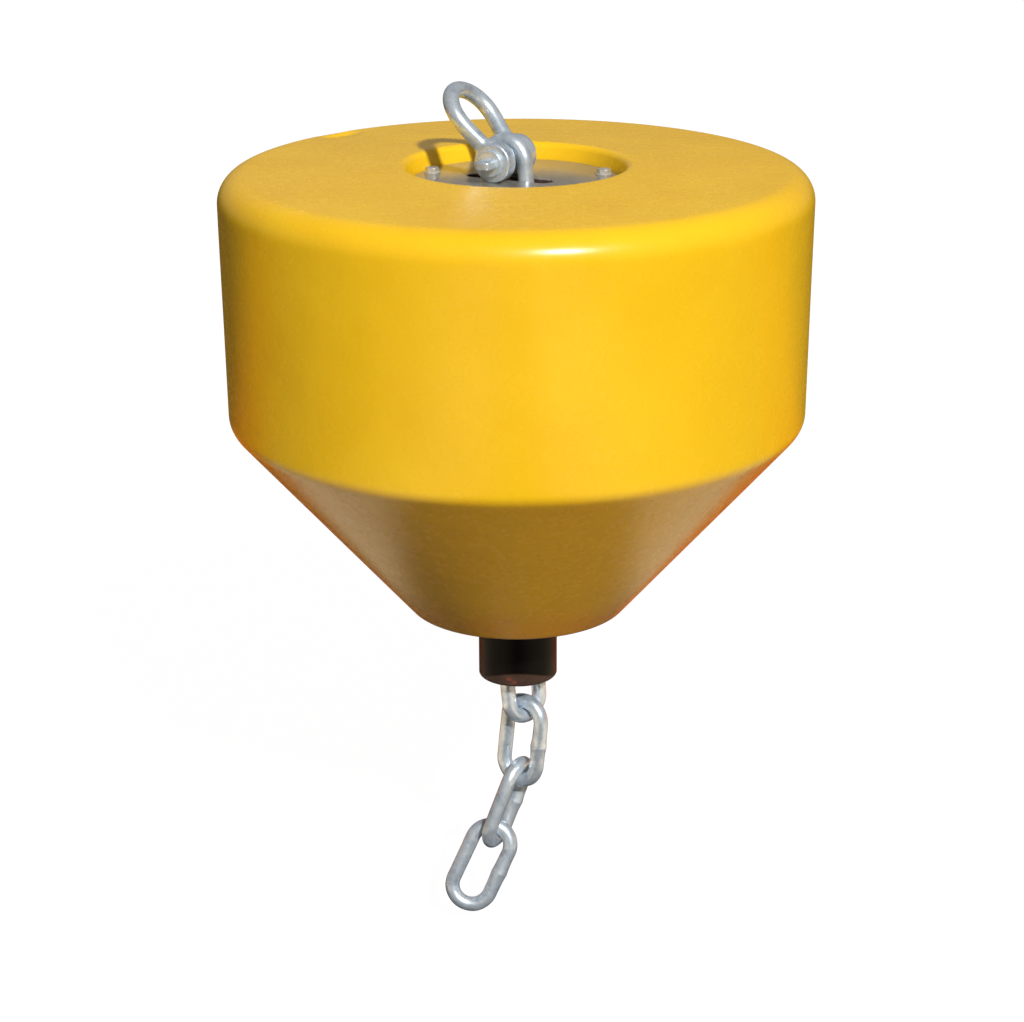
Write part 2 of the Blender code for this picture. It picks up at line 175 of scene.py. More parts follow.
def swept(centres: Array, first: Array, second: Array, half_first: Array, half_second: Array,
          squareness: Array, segments: int) -> Array:
    """Closed section carried along a path.

    The section is a superellipse: the cosine and sine of the angle, each raised to two over the
    squareness, times the two half widths. Squareness 2, the constant ROUND, is an ellipse.

    Args:
        centres: path, (n, 3).
        first: unit vector of the section's first half width at each place, (n, 3).
        second: unit vector of its second half width, (n, 3).
        half_first: first half width, (n,).
        half_second: second half width, (n,).
        squareness: power of the section, (n,).
        segments: points round the section.

    Returns:
        The grid, (n, segments, 3).
    """
    angles = around(segments)
    power = 2.0 / squareness[:, None]
    cosine, sine = np.cos(angles), np.sin(angles)
    along_first = half_first[:, None] * np.sign(cosine) * np.abs(cosine) ** power
    along_second = half_second[:, None] * np.sign(sine) * np.abs(sine) ** power
    return (centres[:, None] + first[:, None] * along_first[..., None]
            + second[:, None] * along_second[..., None])


def placed(grid: Array, place: Matrix) -> Array:
    """Grid of points moved by a placing matrix."""
    move = np.array(place)
    return grid @ move[:3, :3].T + move[:3, 3]


def grid_piece(name: str, grid: Array, ring: bool, sharp_angle: float = 0.0) -> Piece:
    """Put a closed grid of points into the scene as a mesh whose faces point outwards.

    Columns always close on themselves. Rows close on themselves too, or end in a pole.

    Args:
        name: piece name.
        grid: points, (rows, columns, 3).
        ring: whether the last row runs on into the first; if not, both end rows are poles.
        sharp_angle: edges that bend more than this stay sharp, in degrees; 0 leaves all smooth.

    Returns:
        The object, at the origin.
    """
    rows, columns = grid.shape[:2]
    index = np.arange(rows * columns).reshape(rows, columns)
    if ring:
        index = np.vstack((index, index[:1]))
    else:
        index[0] = index[0, 0]
        index[-1] = index[-1, 0]
    index = np.hstack((index, index[:, :1]))
    used, packed = np.unique(index, return_inverse=True)
    packed = packed.reshape(index.shape)
    sides = (packed[:-1, :-1], packed[1:, :-1], packed[1:, 1:], packed[:-1, 1:])
    faces = np.stack(sides, -1).reshape(-1, 4)
    kept = faces != np.roll(faces, 1, axis=1)
    totals = kept.sum(1)
    mesh = bpy.data.meshes.new(name)
    mesh.vertices.add(len(used))
    mesh.vertices.foreach_set("co", grid.reshape(-1, 3)[used].astype(np.float32).ravel())
    mesh.loops.add(int(totals.sum()))
    mesh.loops.foreach_set("vertex_index", faces[kept].astype(np.int32))
    mesh.polygons.add(len(faces))
    starts = np.concatenate(([0], np.cumsum(totals)[:-1]))
    mesh.polygons.foreach_set("loop_start", starts.astype(np.int32))
    mesh.update(calc_edges=True)
    mesh.validate()
    corners = grid.reshape(-1, 3)[used][faces]
    normals = np.cross(corners[:, 1], corners[:, 2]) + np.cross(corners[:, 2], corners[:, 3])
    if (corners[:, 0] * normals).sum() < 0.0:
        mesh.flip_normals()
    mesh.shade_smooth()
    if sharp_angle:
        mesh.set_sharp_from_angle(angle=math.radians(sharp_angle))
    piece = bpy.data.objects.new(name, mesh)
    bpy.context.scene.collection.objects.link(piece)
    return piece


def bore(piece: Piece, cutter: Piece, sharp_angle: float = 40.0) -> None:
    """Cut one piece's shape out of another for good, and drop the cutter.

    Args:
        piece: the piece that is cut.
        cutter: the piece whose shape is cut out.
        sharp_angle: edges that bend more than this stay sharp, in degrees.
    """
    cut = piece.modifiers.new("bore", "BOOLEAN")
    cut.operation = "DIFFERENCE"
    cut.solver = "EXACT"
    cut.object = cutter
    bpy.context.view_layer.update()
    graph = bpy.context.evaluated_depsgraph_get()
    mesh = bpy.data.meshes.new_from_object(piece.evaluated_get(graph))
    piece.modifiers.clear()
    piece.data = mesh
    bpy.data.objects.remove(cutter, do_unlink=True)
    mesh.shade_smooth()
    mesh.set_sharp_from_angle(angle=math.radians(sharp_angle))


# Finishes

def linear(code: str) -> tuple[float, float, float, float]:
    """Linear colour of an sRGB hex code, by the sRGB transfer curve."""
    shares = [int(code[start:start + 2], 16) / 255.0 for start in (1, 3, 5)]
    red, green, blue = (share / 12.92 if share <= 0.04045 else ((share + 0.055) / 1.055) ** 2.4
                        for share in shares)
    return red, green, blue, 1.0


def add_node(tree: bpy.types.NodeTree, kind: str, feeds: dict[str | int, Any] | None = None,
             stops: Stops = (), **properties: Any) -> bpy.types.Node:
    """Add a shader node to a tree.

    Args:
        tree: tree that gets the node.
        kind: type of the node, without the ShaderNode in front of it.
        feeds: what goes into an input, by its name or number: an output socket is linked, and a
            number, a tuple or a hex code is set.
        stops: place and hex code of each stop of a colour ramp, its two ends first.
        properties: the node's own properties.

    Returns:
        The node.
    """
    node = tree.nodes.new("ShaderNode" + kind)
    for name, value in properties.items():
        setattr(node, name, value)
    for number, (place, code) in enumerate(stops):
        elements = node.color_ramp.elements
        stop = elements[number] if number < 2 else elements.new(place)
        stop.position = place
        stop.color = linear(code)
    for key, feed in (feeds or {}).items():
        if isinstance(feed, bpy.types.NodeSocket):
            tree.links.new(feed, node.inputs[key])
        else:
            node.inputs[key].default_value = linear(feed) if isinstance(feed, str) else feed
    return node


class Graph:
    """The emptied node tree of a material or a world, with short calls for its usual nodes."""

    def __init__(self, owner: bpy.types.Material | bpy.types.World) -> None:
        """Empty the owner's tree."""
        owner.use_nodes = True
        self.tree = owner.node_tree
        self.tree.nodes.clear()

    def node(self, kind: str, feeds: dict[str | int, Any] | None = None, **more: Any) -> bpy.types.Node:
        """Add a node to this tree."""
        return add_node(self.tree, kind, feeds, **more)

    def place(self) -> tuple[Socket, Socket, Socket, Socket]:
        """Object coordinates, whole and in their three parts."""
        place = self.node("TexCoord").outputs["Object"]
        across, depth, height = self.node("SeparateXYZ", {0: place}).outputs
        return place, across, depth, height

    def math(self, operation: str, *terms: Any, **properties: Any) -> Socket:
        """Result of an operation on sockets and numbers."""
        return self.node("Math", dict(enumerate(terms)), operation=operation, **properties).outputs[0]

    def run(self, value: Any, start: float, end: float, low: float = 0.0, high: float = 1.0) -> Socket:
        """From low to high while a value runs from start to end, and held beyond them."""
        return self.node("MapRange", {"Value": value, "From Min": start, "From Max": end,
                                      "To Min": low, "To Max": high}).outputs[0]

    def mix(self, share: Any, first: Any, second: Any, data_type: str = "RGBA", **more: str) -> Socket:
        """Colour or number that lies at a share of the way from the first to the second."""
        return self.node("Mix", {"Factor": share, "A": first, "B": second},
                         data_type=data_type, **more).outputs["Result"]

    def ramp(self, value: Socket, stops: Stops) -> Socket:
        """Colour of a ramp at a value."""
        return self.node("ValToRGB", {0: value}, stops=stops).outputs[0]

    def ray(self, kind: str) -> Socket:
        """1 for rays of a kind, else 0."""
        return self.node("LightPath").outputs[f"Is {kind} Ray"]

    def seen(self) -> Socket:
        """1 for camera and transmission rays, else 0."""
        return self.math("MAXIMUM", self.ray("Camera"), self.ray("Transmission"))


class Surface(Graph):
    """A new material with its Principled shader, its output and its object coordinates."""

    def __init__(self, name: str, shader: dict[str, Any]) -> None:
        """Make the material.

        Args:
            name: material name.
            shader: values set on the shader's own sockets.
        """
        self.material = bpy.data.materials.new(name)
        super().__init__(self.material)
        self.shader = self.node("BsdfPrincipled", shader)
        self.node("OutputMaterial", {"Surface": self.shader.outputs["BSDF"]})
        self.spot, self.across, self.depth, self.height = self.place()

    def noise(self, size: float, detail: float, roughness: float = 0.5,
              spot: Socket | None = None) -> Socket:
        """Noise between 0 and 1.

        Args:
            size: size of its largest lumps.
            detail: number of finer layers.
            roughness: share that each finer layer has of the one before.
            spot: coordinates, if not the object's own.

        Returns:
            The noise.
        """
        return self.node("TexNoise", {"Vector": self.spot if spot is None else spot, "Scale": 1 / size,
                                      "Detail": detail, "Roughness": roughness}).outputs["Fac"]

    def bump(self, height: Socket, strength: float, distance: float, **under: Socket) -> Socket:
        """Normal bent by a height, on top of another bent normal where one is given."""
        return self.node("Bump", {"Height": height, "Strength": strength, "Distance": distance,
                                  **under}).outputs[0]

    def fade(self, base: float, steps: Pair, share: float = 1.0) -> Socket:
        """Share that falls to 0 while the height runs between two steps from a base."""
        return self.run(self.height, base + steps[0], base + steps[1], share, 0.0)

    def wear(self, **sources: Socket) -> None:
        """Feed any of the shader's colour, roughness and normal."""
        for name, source in sources.items():
            self.tree.links.new(source, self.shader.inputs[SHADER_INPUTS[name]])

    def dress(self, piece: Piece) -> None:
        """Make this the piece's only material."""
        piece.data.materials.clear()
        piece.data.materials.append(self.material)


@dataclass(frozen=True)
class MouldedPolyethylene:
    """Rotomoulded polyethylene skin: an even, satin yellow with a faint orange peel.

    The mould gives it slow waves a hand wide, so its highlight is soft and a little uneven. Below
    the shoulder the cone is tinted darker and more orange as painted shade. Orange bands down its
    sides, near its outline as seen from the front, are painted reflections; the orange ring round
    its foot is a stain from where it has stood in its cradle.
    """

    body: Stops = ((0.3, "#F2BC14"), (0.7, "#F8C41C"))
    # Painted shade: the downward-facing cone below the shoulder is tinted darker and more orange
    cone_shade_tint: str = "#E09A2C"
    cone_shade_share: float = 0.6
    cone_shade_fade: Pair = (-12.0 * MM, 6.0 * MM)
    # Orange of the painted reflection bands down the cone's sides and of the stain ring at its foot
    stain_and_reflection_tone: str = "#E88A2C"
    # Painted reflection bands near the cone's outline as seen from the front
    reflection_band_stops: Stops = ((0.10, "#505050"), (0.56, "#000000"), (0.28, "#D8D8D8"), (0.44, "#D0D0D0"))
    reflection_band_bend: float = 0.10
    reflection_band_fade: Pair = (-45.0 * MM, -20.0 * MM)
    ring_share: float = 0.8
    ring_fade: Pair = (20.0 * MM, 75.0 * MM)
    specular: float = 0.45
    roughness: Pair = (0.25, 0.29)
    mottle_size: float = 160.0 * MM
    smear_size: float = 70.0 * MM
    scuff_size: float = 22.0 * MM
    peel_size: float = 5.0 * MM
    peel_height: float = 0.2 * MM
    wave_size: float = 90.0 * MM
    wave_height: float = 2.0 * MM
    shoulder_height: float = -80.0 * MM
    foot_height: float = -396.0 * MM

    def stain_and_reflection_share(self, made: Surface) -> Socket:
        """Share of orange: painted reflection in bands down both sides of the cone, and stain in a ring
        above its foot.

        A band follows the size of the sine of the angle from the X axis. It is full between about
        0.28 and 0.44, which is 16 to 26 degrees, and gone at 0.56, so it lies near the cone's outline
        as seen from the front. Noise smears band and ring.
        """
        sine = made.math("ABSOLUTE", made.math("SINE", made.math("ARCTAN2", made.depth, made.across)))
        smear = made.noise(self.smear_size, 3.0)
        bend = made.math("MULTIPLY_ADD", smear, self.reflection_band_bend, -self.reflection_band_bend / 2.0)
        # Painted reflection: bands at the cone's sides as seen from the front
        band = made.ramp(made.math("ADD", sine, bend), self.reflection_band_stops)
        below = made.fade(self.shoulder_height, self.reflection_band_fade)
        low = made.fade(self.foot_height, self.ring_fade, self.ring_share)
        return made.math("MAXIMUM", made.math("MULTIPLY", band, below), made.math("MULTIPLY", low, smear))

    def surface(self) -> Surface:
        """Build the material."""
        made = Surface("rotomoulded_yellow_polyethylene",
                       {"IOR": PLASTIC_IOR, "Specular IOR Level": self.specular})
        body = made.ramp(made.noise(self.mottle_size, 3.0), self.body)
        # Painted shade on the cone, then the painted reflection bands and the stain ring over it
        cone = made.fade(self.shoulder_height, self.cone_shade_fade, self.cone_shade_share)
        colour = made.mix(self.stain_and_reflection_share(made), made.mix(cone, body, self.cone_shade_tint), self.stain_and_reflection_tone)
        dull = made.run(made.noise(self.scuff_size, 4.0), 0.3, 0.7, *self.roughness)
        skin = made.bump(made.noise(self.peel_size, 2.0), 0.05, self.peel_height)
        waves = made.bump(made.noise(self.wave_size, 1.0), 0.5, self.wave_height, Normal=skin)
        made.wear(colour=colour, roughness=dull, normal=waves)
        return made


@dataclass(frozen=True)
class ExtrudedPolyethylene:
    """Black extruded pipe: a satin skin with fine lengthwise drawing lines.

    At its foot it carries a painted reflection: brown with orange spots, up to an arched edge that
    lies lower by the fall times the squared distance from the middle, so it is a lens as seen from
    the front.
    """

    body: str = "#070504"
    # Painted reflection at the foot: its brown, and the orange of its spots
    foot_reflection: str = "#4E3A30"
    rust_and_reflected_spots: str = "#A8481C"
    specular: float = 0.12
    roughness: Pair = (0.28, 0.5)
    patch_size: float = 30.0 * MM
    line_width: float = 4.0 * MM
    line_height: float = 0.2 * MM
    line_stretch: Triple = (1.0, 1.0, 0.04)
    foot_height: float = -519.0 * MM
    foot_reflection_height: float = 24.0 * MM
    foot_reflection_share: float = 1.6
    foot_reflection_fade: float = 3.0 * MM
    arch_fall: float = 5.5
    spot_range: Pair = (0.60, 0.74)
    spot_share: float = 0.7

    def surface(self) -> Surface:
        """Build the material."""
        made = Surface("extruded_black_polyethylene",
                       {"IOR": PLASTIC_IOR, "Specular IOR Level": self.specular})
        patch = made.noise(self.patch_size, 5.0, 0.65)
        # Painted reflection: a brown lens at the foot, tallest in the middle as seen from the front, with
        # orange spots
        square = made.math("POWER", made.across, 2.0)
        arch = made.math("MULTIPLY_ADD", square, self.arch_fall, made.height)
        edge = self.foot_height + self.foot_reflection_height
        foot = made.run(arch, edge - self.foot_reflection_fade, edge, self.foot_reflection_share, 0.0)
        brown = made.mix(made.math("MULTIPLY", foot, patch, use_clamp=True), self.body, self.foot_reflection)
        spots = made.math("MULTIPLY", made.run(patch, *self.spot_range, 0.0, self.spot_share), foot)
        stretched = made.node("Mapping", {"Vector": made.spot, "Scale": self.line_stretch}).outputs[0]
        lines = made.bump(made.noise(self.line_width, 2.0, spot=stretched), 0.3, self.line_height)
        made.wear(colour=made.mix(spots, brown, self.rust_and_reflected_spots),
                  roughness=made.run(patch, 0.0, 1.0, *self.roughness), normal=lines)
        return made


@dataclass(frozen=True)
class DullSteelPlate:
    """Mill-finished steel plate: dark, smooth enough to mirror softly, rusty in its cut slot."""

    face: Stops = ((0.38, "#9B9890"), (0.62, "#A8A59D"))
    # Rust in the cut slot and on the plate's cut edges
    rust_and_reflected_spots: str = "#4A1C10"
    rust_share: float = 0.85
    rust_fade: Pair = (-2.5 * MM, -0.6 * MM)
    metallic: float = 0.55
    roughness: Pair = (0.11, 0.27)
    cloud_size: float = 40.0 * MM
    scratch_size: float = 3.0 * MM
    scratch_height: float = 0.1 * MM
    scratch_stretch: Triple = (1.0, 0.08, 1.0)
    scratch_turn: Triple = (0.0, 0.0, 0.5)
    top_height: float = 285.0 * MM

    def surface(self) -> Surface:
        """Build the material."""
        made = Surface("dull_steel_plate", {"Metallic": self.metallic})
        cloud = made.noise(self.cloud_size, 5.0, 0.6)
        cut = made.fade(self.top_height, self.rust_fade, self.rust_share)
        rolled = made.node("Mapping", {"Vector": made.spot, "Scale": self.scratch_stretch,
                                       "Rotation": self.scratch_turn}).outputs[0]
        scratch = made.noise(self.scratch_size, 3.0, spot=rolled)
        made.wear(colour=made.mix(cut, made.ramp(cloud, self.face), self.rust_and_reflected_spots),
                  roughness=made.run(cloud, 0.0, 1.0, *self.roughness),
                  normal=made.bump(scratch, 0.12, self.scratch_height))
        return made


@dataclass(frozen=True)
class HotDipZinc:
    """Hot-dip galvanised steel: a pale blue-grey zinc coat with a soft spangle and small lumps.

    The spangle is a cell pattern a few millimetres wide whose cells differ a little in grey and
    in gloss. The lumps are where the zinc ran and set.
    """

    name: str
    tones: Stops = ((0.3, "#B0BDC8"), (0.7, "#F0F6FA"), (0.5, "#DAE5EE"))
    metallic: float = 0.68
    roughness: Pair = (0.43, 0.25)
    bend_size: float = 12.0 * MM
    bend_share: float = 0.006
    spangle_size: float = 7.0 * MM
    spangle_share: float = 0.12
    cloud_size: float = 28.0 * MM
    lump_size: float = 9.0 * MM
    lump_height: float = 0.5 * MM

    def surface(self) -> Surface:
        """Build the material."""
        made = Surface(self.name, {"Metallic": self.metallic})
        bend = made.node("TexNoise", {"Vector": made.spot, "Scale": 1 / self.bend_size, "Detail": 2.0})
        shifted = made.mix(self.bend_share, made.spot, bend.outputs["Color"], blend_type="LINEAR_LIGHT")
        cells = made.node("TexVoronoi", {"Vector": shifted, "Scale": 1 / self.spangle_size})
        cell = made.node("SeparateColor", {0: cells.outputs["Color"]}).outputs[0]
        cloud = made.noise(self.cloud_size, 5.0, 0.65)
        tone = made.mix(self.spangle_share, cloud, cell, data_type="FLOAT")
        made.wear(colour=made.ramp(tone, self.tones),
                  roughness=made.run(tone, 0.25, 0.75, *self.roughness),
                  normal=made.bump(made.noise(self.lump_size, 3.0, 0.6), 0.55, self.lump_height))
        return made


@dataclass(frozen=True)
class PaleFloor:
    """Studio floor: dark ground, with a pale board on each side and orange-brown behind them.

    Those show in reflections only, and there the dark ground round the buoy is a painted shadow of
    the buoy on the floor. Where it is seen directly it is lifted to white. Each zone is a pair of
    distances between which it fades in.
    """

    inner: Pair = (0.42, 0.52)
    outer: Pair = (2.4, 1.6)
    rear: Pair = (0.80, 0.68)
    far: Pair = (2.0, 2.6)
    # Painted shadow: the ground round the buoy is dark in reflections
    shaded_ground: str = "#505050"
    board: str = "#FFE8C4"
    behind: str = "#F4742C"
    far_tone: str = "#483C30"
    bounced_ground: str = "#303030"
    bounced_board: str = "#B0B0B0"
    shadowed: str = "#5A5A5A"
    lift: float = 0.96

    def dress(self, floor: Piece) -> None:
        """Build the material and put it on the floor."""
        material = bpy.data.materials.new("pale_floor")
        made = Graph(material)
        _, across, depth, _ = made.place()
        aside = made.math("ABSOLUTE", across)
        rear = made.run(depth, *self.rear)
        strip = made.math("MULTIPLY", made.run(aside, *self.inner), made.run(aside, *self.outer))
        board = made.math("MULTIPLY", strip, rear)
        behind = made.mix(made.run(depth, *self.far), self.behind, self.far_tone)
        # In reflections the dark ground is a painted shadow under the buoy
        mirrored = made.mix(board, made.mix(rear, behind, self.shaded_ground), self.board)
        bounced = made.mix(board, self.bounced_ground, self.bounced_board)
        matt = made.node("BsdfDiffuse", {"Color": made.mix(made.ray("Glossy"), bounced, mirrored)})
        shadowed = made.node("BsdfDiffuse", {"Color": self.shadowed})
        lift = made.node("Emission", {"Color": "#FFFFFF", "Strength": self.lift})
        pale = made.node("AddShader", {0: shadowed.outputs[0], 1: lift.outputs[0]})
        either = made.node("MixShader", {0: made.seen(), 1: matt.outputs[0], 2: pale.outputs[0]})
        made.node("OutputMaterial", {"Surface": either.outputs[0]})
        floor.data.materials.append(material)


# Sub-assemblies

class Part(Enum):
    """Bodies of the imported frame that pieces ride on."""

    BUOY = "buoy"
    SHACKLE = "shackle"
    TAIL_1 = "tail_link_1"
    TAIL_2 = "tail_link_2"
    TAIL_3 = "tail_link_3"


def install(piece: Piece, finish: Surface, part: Part, slot: str, *nodes: str) -> None:
    """Dress a piece and let it ride on its body and stand for its nodes.

    Args:
        piece: the piece, at the origin.
        finish: the surface that it wears.
        part: body that carries it.
        slot: not used.
        nodes: CAD nodes that it stands for.
    """
    finish.dress(piece)
    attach(piece, part.value)
    if nodes:
        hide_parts(*nodes)
    LOG.info("%s: %d faces", piece.name, len(piece.data.polygons))


@dataclass
class FloatShell:
    """The rotomoulded float: a drum that tapers a little, on a cone, with a recess in its top."""

    rim_radius: float = 0.451
    shoulder_radius: float = 0.4455
    foot_radius: float = 0.169
    rim_height: float = 0.300
    shoulder_height: float = -0.080
    foot_height: float = -0.396
    lip_height: float = 0.310
    rim_edge: float = 0.042
    shoulder_edge: float = 0.030
    foot_edge: float = 0.014
    mouth_radius: float = 0.168
    floor_radius: float = 0.160
    floor_height: float = 0.2727
    lip_edge: float = 0.011
    floor_edge: float = 0.0015
    socket_radius: float = 0.0883
    socket_height: float = 0.2604
    flare_radius: float = 0.0758
    flare_foot_height: float = 0.1804
    bore_radius: float = 0.0628
    segments: int = 288
    spacing: float = 0.012
    wave_height: float = 0.0004
    wave_length: float = 0.21
    wave_seed: int = 11
    dimple_azimuth: float = 135.0
    dimple_reach: float = 0.400
    dimple_size: Pair = (0.036, 0.018)
    dimple_depth: float = 0.007

    def outline(self) -> Array:
        """Half section of the float, from the bore up over the recess and down to the foot."""
        corners = (
            (self.bore_radius, self.flare_foot_height, 0.0),
            (self.flare_radius, self.socket_height, 0.0),
            (self.socket_radius, self.socket_height, 0.0),
            (self.socket_radius, self.floor_height, 0.0),
            (self.floor_radius, self.floor_height, self.floor_edge),
            (self.mouth_radius, self.lip_height, self.lip_edge),
            (self.rim_radius, self.rim_height, self.rim_edge),
            (self.shoulder_radius, self.shoulder_height, self.shoulder_edge),
            (self.foot_radius, self.foot_height, self.foot_edge),
            (self.bore_radius, self.foot_height, 0.0),
        )
        return rounded_outline(corners, self.spacing)

    def dimple(self, grid: Array) -> Array:
        """Depth of the shallow moulded dimple near the rim, at the back left of the top.

        Its edge is the bell curve of the fourth power of the distance from its middle, measured
        in half lengths along the rim and half widths towards the axis.
        """
        azimuth = math.radians(self.dimple_azimuth)
        inward = grid[..., 0] * math.cos(azimuth) + grid[..., 1] * math.sin(azimuth) - self.dimple_reach
        along = grid[..., 1] * math.cos(azimuth) - grid[..., 0] * math.sin(azimuth)
        far = (along / self.dimple_size[0]) ** 2 + (inward / self.dimple_size[1]) ** 2
        return np.where(grid[..., 2] > self.floor_height, self.dimple_depth * np.exp(-far ** 2), 0.0)

    def build(self) -> None:
        """Turn the outline, pull it in by slow mould waves, and dress it."""
        grid = turned(self.outline(), self.segments)
        pull = (1.0 + ripple(grid, self.wave_length, self.wave_seed)) * self.wave_height / 2.0
        outside = np.hypot(grid[..., 0], grid[..., 1]) > self.floor_radius
        grid[..., :2] *= (1.0 - np.where(outside, pull, 0.0) / self.rim_radius)[..., None]
        grid[..., 2] -= self.dimple(grid)
        piece = grid_piece("float", grid, ring=True, sharp_angle=50.0)
        install(piece, MouldedPolyethylene().surface(), Part.BUOY, "yellow_polyethylene", "float_shell")


@dataclass
class HawsePipe:
    """The black pipe that lines the float, flared at its top under a collar."""

    radius: float = 0.0625
    bore_radius: float = 0.055
    flare_bore_radius: float = 0.068
    flare_radius: float = 0.0755
    collar_radius: float = 0.088
    top_height: float = 0.2727
    collar_height: float = 0.2607
    flare_foot_height: float = 0.1807
    foot_height: float = -0.519
    foot_edge: float = 0.0045
    bore_edge: float = 0.002
    collar_edge: float = 0.002
    mouth_edge: float = 0.003
    segments: int = 144
    spacing: float = 0.02

    def build(self) -> None:
        """Turn the pipe's wall section and dress it."""
        corners = (
            (self.bore_radius, self.flare_foot_height, 0.0),
            (self.flare_bore_radius, self.top_height, self.mouth_edge),
            (self.collar_radius, self.top_height, 0.0),
            (self.collar_radius, self.collar_height, self.collar_edge),
            (self.flare_radius, self.collar_height, 0.0),
            (self.radius, self.flare_foot_height, 0.0),
            (self.radius, self.foot_height, self.foot_edge),
            (self.bore_radius, self.foot_height, self.bore_edge),
        )
        grid = turned(rounded_outline(corners, self.spacing), self.segments)
        piece = grid_piece("pipe", grid, ring=True, sharp_angle=50.0)
        install(piece, ExtrudedPolyethylene().surface(), Part.BUOY, "black_polyethylene", "hawse_pipe")


@dataclass
class ChainPlate:
    """The slotted steel plate on the recess floor and the five bolts that hold it.

    Each edge of a washer is a step inwards and a step of height. The foot of a bolt's head is a
    share of the hexagon and the height where it ends. Its cone is given as shares of the flats'
    half distance with depths under the crest, and its crown as the share that is left there.
    """

    radius: float = 0.158
    top_height: float = 0.285
    thickness: float = 0.012
    slot_length: float = 0.140
    slot_width: float = 0.030
    slot_yaw: float = -25.0
    slot_centre: Pair = (-0.0095, 0.0099)
    bevel: float = 0.0008
    segments: int = 360
    bolts: int = 5
    bolt_circle: float = 0.138
    bolt_start: float = 14.0
    head_flats: float = 0.0185
    head_height: float = 0.0072
    head_foot: Pair = (1.005, 0.0003)
    head_side_end: float = 0.0016
    head_cone: tuple[Pair, ...] = ((1.10, 0.0009), (1.02, 0.0003))
    head_crown: float = 0.93
    head_turn: float = 1.7
    head_segments: int = 96
    washer_radius: float = 0.0125
    washer_thickness: float = 0.0022
    washer_foot: Pair = (0.0003, 0.0004)
    washer_edge: Pair = (0.0006, 0.0005)

    def slot_distance(self, angles: Array) -> Array:
        """Distance from the slot's centre to its edge at angles from its length.

        On the flanks it is half the width over the sine. At the round ends it is the far solution
        of the circle about the end's centre: c cos a plus the root of r squared less c sin a squared.
        """
        end = (self.slot_length - self.slot_width) / 2.0
        half = self.slot_width / 2.0
        cosine, sine = np.abs(np.cos(angles)), np.abs(np.sin(angles))
        flank = half / np.maximum(sine, TINY)
        round_end = end * cosine + np.sqrt(np.maximum(half ** 2 - (end * sine) ** 2, 0.0))
        return np.where(flank * cosine <= end, flank, round_end)

    def build_plate(self) -> None:
        """Carry a section from slot to rim all the way round the slot, and dress it.

        Each row of the section is a share of the way from slot to rim, a shift outwards and a height.
        """
        angles = around(self.segments)
        yaw = math.radians(self.slot_yaw)
        ways = np.stack((np.cos(angles + yaw), np.sin(angles + yaw)), -1)
        centre = np.array(self.slot_centre)
        slot = centre + ways * self.slot_distance(angles)[:, None]
        along = ways @ centre
        reach = np.sqrt(self.radius ** 2 - centre @ centre + along ** 2) - along
        rim = centre + ways * reach[:, None]
        top = self.top_height
        base = top - self.thickness
        section = (
            (0.0, self.bevel, top), (0.0, 0.0, top - self.bevel), (0.0, 0.0, base + self.bevel),
            (0.0, self.bevel, base), (0.5, 0.0, base), (1.0, -self.bevel, base),
            (1.0, 0.0, base + self.bevel), (1.0, 0.0, top - self.bevel), (1.0, -self.bevel, top),
            (0.66, 0.0, top), (0.33, 0.0, top),
        )
        rows = [np.concatenate((slot + (rim - slot) * share + ways * shift,
                                np.full((self.segments, 1), height)), -1)
                for share, shift, height in section]
        piece = grid_piece("slotted_plate", np.stack(rows), ring=True, sharp_angle=30.0)
        install(piece, DullSteelPlate().surface(), Part.BUOY, "grey_steel_plate", "top_plate")

    def build_bolts(self) -> None:
        """Hexagon heads on washers: a head's radius is the flats' half distance over the cosine
        of the angle from the nearest flat, and it is trimmed to a cone at its top corners."""
        angles = around(self.head_segments)
        from_flat = (angles + math.pi / 6.0) % (math.pi / 3.0) - math.pi / 6.0
        flats = self.head_flats / 2.0
        hexagon = flats / np.cos(from_flat)
        washer = self.washer_radius
        foot = self.top_height
        seat = foot + self.washer_thickness
        crest = seat + self.head_height
        rings = (
            (0.0, foot), (washer - self.washer_foot[0], foot), (washer, foot + self.washer_foot[1]),
            (washer, seat - self.washer_edge[1]), (washer - self.washer_edge[0], seat),
            (hexagon * self.head_foot[0], seat), (hexagon, seat + self.head_foot[1]),
            (hexagon, crest - self.head_side_end),
            *((np.minimum(hexagon, flats * share), crest - depth) for share, depth in self.head_cone),
            (np.minimum(hexagon, flats) * self.head_crown, crest), (0.0, crest),
        )
        head = np.stack([np.stack((reach * np.cos(angles), reach * np.sin(angles),
                                   np.full_like(angles, height)), -1) for reach, height in rings])
        finish = HotDipZinc("bright_zinc_bolt", ((0.3, "#B5A88E"), (0.7, "#EEF0F0"), (0.5, "#DAD9D2")),
                            roughness=(0.38, 0.20)).surface()
        for number in range(self.bolts):
            turn = math.radians(self.bolt_start + 360.0 / self.bolts * number)
            spot = (self.bolt_circle * math.cos(turn), self.bolt_circle * math.sin(turn), 0.0)
            place = Matrix.Translation(spot) @ Matrix.Rotation(turn * self.head_turn, 4, "Z")
            piece = grid_piece(f"plate_bolt_{number + 1}", placed(head, place), ring=False,
                               sharp_angle=30.0)
            install(piece, finish, Part.BUOY, "galvanised_shackle")

    def build(self) -> None:
        """Build the plate and its bolts."""
        self.build_plate()
        self.build_bolts()


